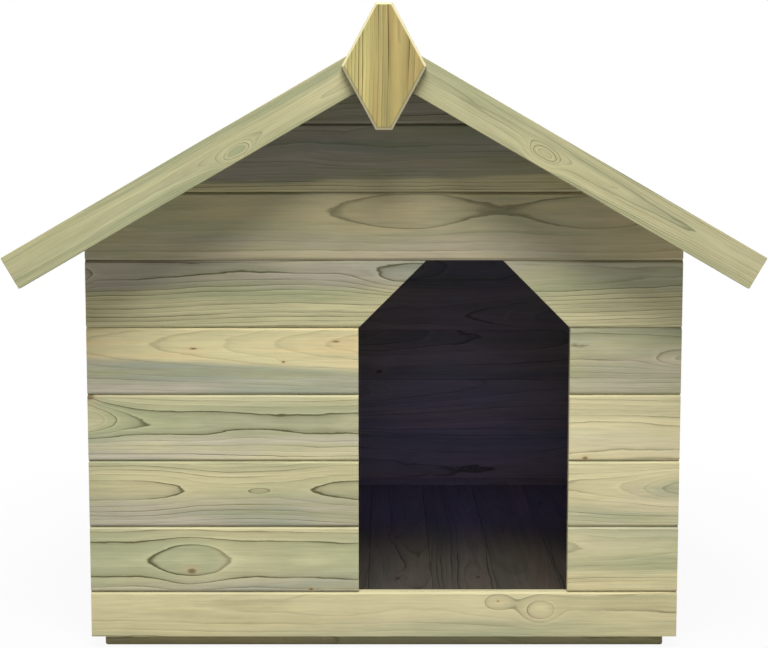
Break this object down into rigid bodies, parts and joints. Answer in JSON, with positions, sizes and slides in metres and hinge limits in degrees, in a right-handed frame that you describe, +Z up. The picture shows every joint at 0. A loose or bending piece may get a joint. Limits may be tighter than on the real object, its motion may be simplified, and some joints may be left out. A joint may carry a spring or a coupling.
{
  "type": "dog house",
  "caption": "Timber dog house with boarded walls, an offset doorway with clipped corners, and a pitched roof whose one half is hinged at the ridge.",
  "frame": {"origin": "middle of the footprint, on the ground", "axes": "the front wall with the doorway faces -Y, +X is to the right as seen from the front, +Z is up"},
  "size_m": [0.82, 0.85, 0.7215],
  "materials": {
    "wall_boards": "planed pressure-treated softwood, green tint",
    "base_boards": "planed pressure-treated softwood, pale",
    "roof_boards": "planed pressure-treated softwood, green tint",
    "barge_boards": "planed pressure-treated softwood, pale",
    "finials": "planed pressure-treated softwood",
    "floor_boards": "planed pressure-treated softwood",
    "frame_timber": "sawn pressure-treated softwood",
    "hinges": "zinc plated, satin",
    "screws": "zinc plated, satin"
  },
  "bodies": {
    "house": {"back_wall_boards": "wall_boards", "bearer_front": "frame_timber", "bearer_middle": "frame_timber", "bearer_rear": "frame_timber", "corner_post_front_left": "frame_timber", "corner_post_front_right": "frame_timber", "corner_post_rear_left": "frame_timber", "corner_post_rear_right": "frame_timber", "door_batten_left": "frame_timber", "door_batten_right": "frame_timber", "finial_front": "finials", "finial_rear": "finials", "fixed_barge_front": "barge_boards", "fixed_barge_rear": "barge_boards", "fixed_rafter_front": "frame_timber", "fixed_rafter_middle": "frame_timber", "fixed_rafter_rear": "frame_timber", "fixed_roof_boards": "roof_boards", "floor_boards": "floor_boards", "front_base_board": "base_boards", "front_board_left_1": "wall_boards", "front_board_left_2": "wall_boards", "front_board_left_3": "wall_boards", "front_board_left_4": "wall_boards", "front_board_left_5": "wall_boards", "front_board_right_1": "wall_boards", "front_board_right_2": "wall_boards", "front_board_right_3": "wall_boards", "front_board_right_4": "wall_boards", "front_board_right_5": "wall_boards", "front_gable_board_1": "wall_boards", "front_gable_board_2": "wall_boards", "front_gable_board_3": "wall_boards", "hinge_leaves_fixed": "hinges", "hinge_pins": "hinges", "hinge_screws_fixed": "screws", "left_wall_board_0": "base_boards", "left_wall_board_1": "wall_boards", "left_wall_board_2": "wall_boards", "left_wall_board_3": "wall_boards", "left_wall_board_4": "wall_boards", "left_wall_board_5": "wall_boards", "left_wall_board_6": "wall_boards", "right_wall_board_0": "base_boards", "right_wall_board_1": "wall_boards", "right_wall_board_2": "wall_boards", "right_wall_board_3": "wall_boards", "right_wall_board_4": "wall_boards", "right_wall_board_5": "wall_boards", "right_wall_board_6": "wall_boards"},
    "lid": {"hinge_leaves_lid": "hinges", "hinge_screws_lid": "screws", "lid_barge_front": "barge_boards", "lid_barge_rear": "barge_boards", "lid_rafter_front": "frame_timber", "lid_rafter_middle": "frame_timber", "lid_rafter_rear": "frame_timber", "lid_roof_boards": "roof_boards"}
  },
  "joints": [
    {"name": "lid_hinge", "type": "hinge", "parent": "house", "child": "lid", "pos_m": [0, 0, 0.69315], "axis": [0, -1, 0], "range_deg": [0, 240]}
  ]
}
